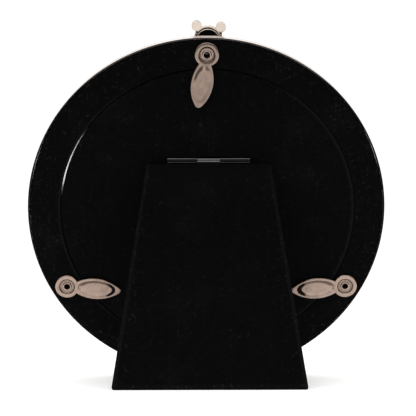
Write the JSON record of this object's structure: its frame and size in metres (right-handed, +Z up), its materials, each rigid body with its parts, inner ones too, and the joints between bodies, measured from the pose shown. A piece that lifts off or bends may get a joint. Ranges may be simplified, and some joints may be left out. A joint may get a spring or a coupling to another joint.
{
  "type": "round photo frame",
  "caption": "Round metal photo frame with glass, a removable velvet back held by leaf-shaped turn buttons, and a hinged velvet easel leg.",
  "frame": {"origin": "middle of the part's bounding box on the surface it stands on", "axes": "+Z up, +Y from the picture to the easel leg, +X to the left when the back is looked at"},
  "size_m": [0.142, 0.0696, 0.1412],
  "materials": {
    "silver": "polished",
    "nickel": "satin, slightly warm",
    "dark_steel": "dark, half bright",
    "velvet": "short pile, black",
    "fibreboard": "raw",
    "paper": "matt black paper",
    "picture_paper": "blank card",
    "glass": "clear",
    "crystal": "cut, foiled"
  },
  "bodies": {
    "frame": {"rim": "silver", "bead_border": "silver", "glass": "glass", "photo_card": "picture_paper", "backing_card": "paper", "ring_board": "fibreboard", "ring_velvet": "velvet", "door_board": "fibreboard", "door_velvet": "velvet", "door_lining": "paper", "eyelet_top": "nickel", "eyelet_left": "nickel", "eyelet_right": "nickel", "friction_washers": "nickel", "ring_washers": "nickel", "hinge_fixed_leaf": "dark_steel", "hinge_pin": "dark_steel", "door_rivets": "nickel", "jewel_cup": "silver", "jewel": "crystal", "side_cup_left": "silver", "side_cup_right": "silver", "side_stone_left": "crystal", "side_stone_right": "crystal"},
    "leg": {"leg_velvet": "velvet", "leg_board": "fibreboard", "leg_lining": "paper", "hinge_moving_leaf": "dark_steel", "leg_rivets": "nickel"},
    "button_top": {"turn_button_top": "nickel"},
    "button_left": {"turn_button_left": "nickel"},
    "button_right": {"turn_button_right": "nickel"}
  },
  "joints": [
    {"name": "leg_fold", "type": "hinge", "parent": "frame", "child": "leg", "pos_m": [-0.0008, 0.00266, 0.08712], "axis": [-1, 0, 0], "range_deg": [0, 37.9]},
    {"name": "turn_top", "type": "hinge", "parent": "frame", "child": "button_top", "pos_m": [0, 0.01761, 0.12742], "axis": [0, 0.9426, -0.3338], "continuous": true},
    {"name": "turn_left", "type": "hinge", "parent": "frame", "child": "button_left", "pos_m": [0.05612, -0.01451, 0.03671], "axis": [0, 0.9426, -0.3338], "continuous": true},
    {"name": "turn_right", "type": "hinge", "parent": "frame", "child": "button_right", "pos_m": [-0.05612, -0.01451, 0.03671], "axis": [0, 0.9426, -0.3338], "continuous": true}
  ]
}
